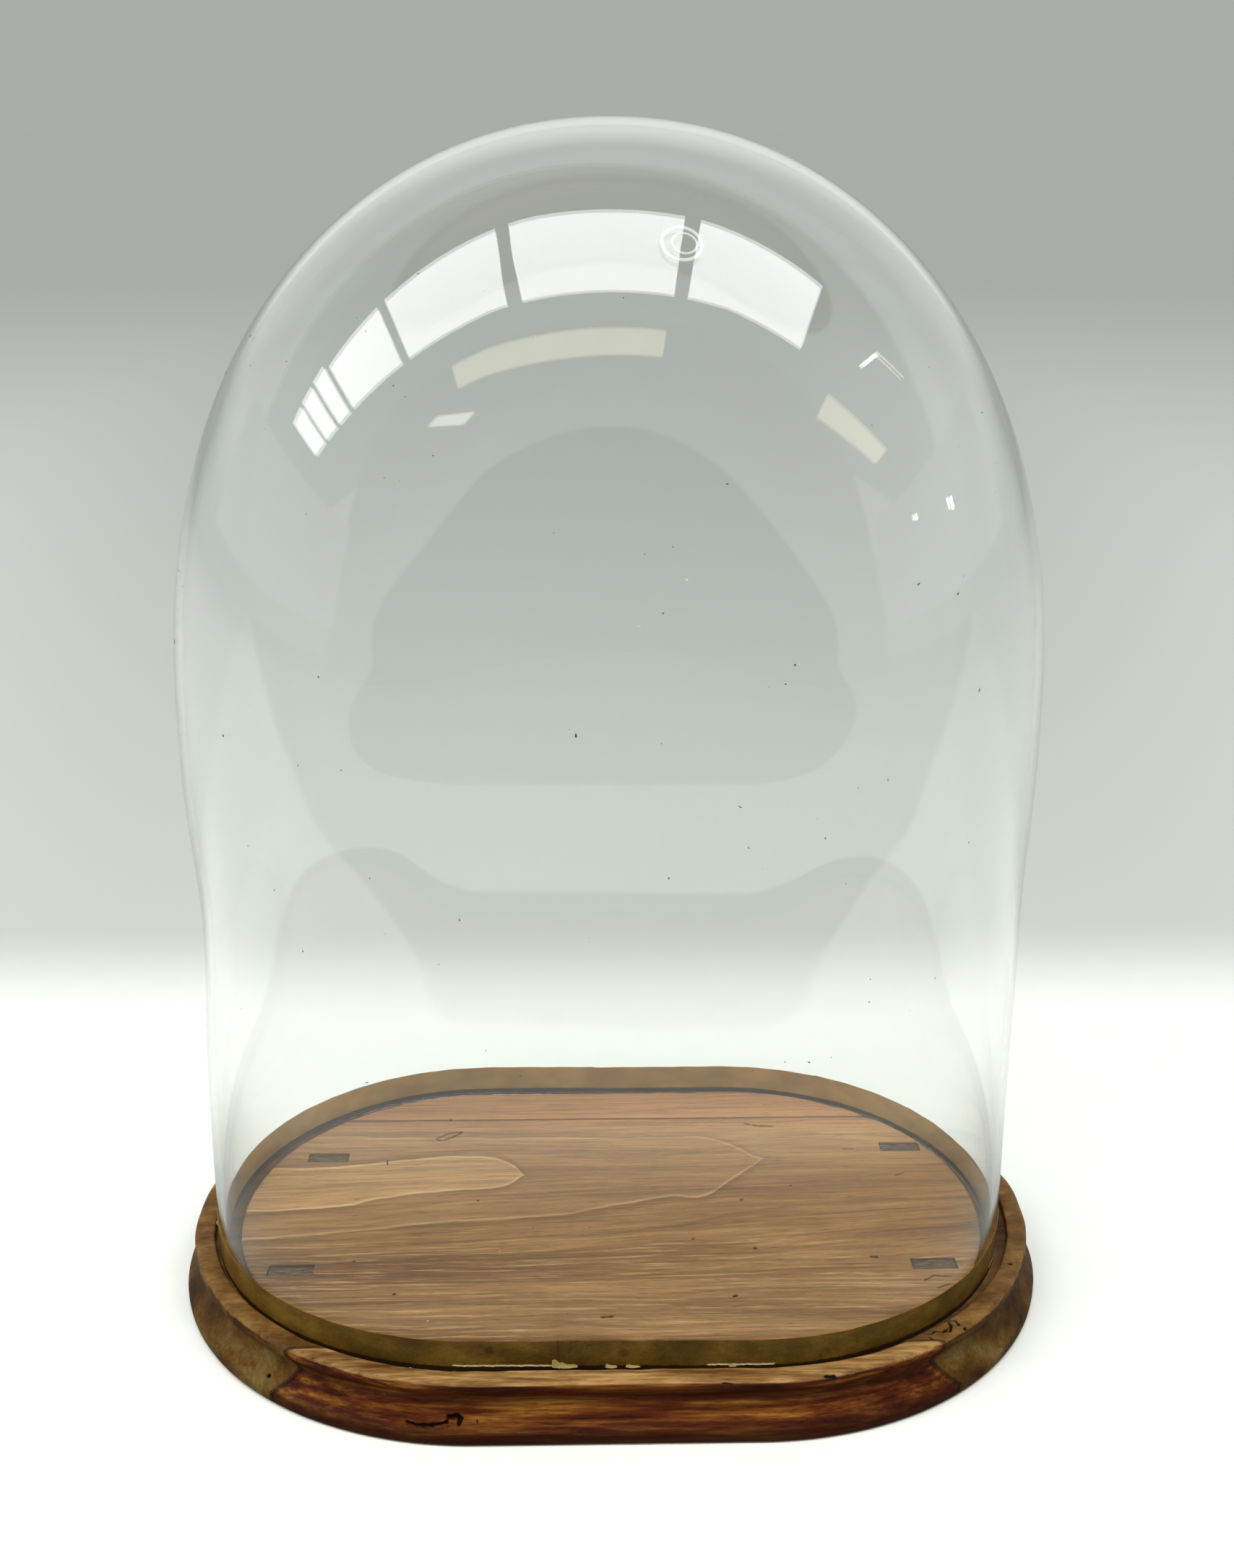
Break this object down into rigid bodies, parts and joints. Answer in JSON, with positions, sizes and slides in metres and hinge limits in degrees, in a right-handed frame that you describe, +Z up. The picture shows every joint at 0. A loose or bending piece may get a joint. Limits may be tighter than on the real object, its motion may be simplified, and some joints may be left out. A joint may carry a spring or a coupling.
{
  "type": "bell jar dome",
  "caption": "Oblong lift-off glass display dome with a paper-taped foot, standing in the groove of a moulded wooden base.",
  "frame": {"origin": "centre of the underside of the base", "axes": "+X along the length to the right, +Y to the back, +Z up; the front faces -Y"},
  "size_m": [0.3616, 0.2536, 0.4709],
  "materials": {
    "stripped_wood": "stripped and waxed",
    "batten_wood": "raw",
    "end_grain": "dark stained",
    "clear_glass": "polished",
    "paper_tape": "aged"
  },
  "bodies": {
    "base": {"front_board": "stripped_wood", "middle_board": "stripped_wood", "back_board": "stripped_wood", "left_batten": "batten_wood", "right_batten": "batten_wood", "peg_front_left": "end_grain", "peg_front_right": "end_grain", "peg_back_left": "end_grain", "peg_back_right": "end_grain"},
    "dome": {"glass_dome": "clear_glass", "tape_left_end": "paper_tape", "tape_right_end": "paper_tape", "tape_back_middle": "paper_tape", "tape_back_left_patch": "paper_tape", "tape_back_right_patch": "paper_tape"}
  },
  "joints": [
    {"name": "dome_lift", "type": "slide", "parent": "base", "child": "dome", "axis": [0, 0, 1], "range_m": [0, 0.46]}
  ]
}
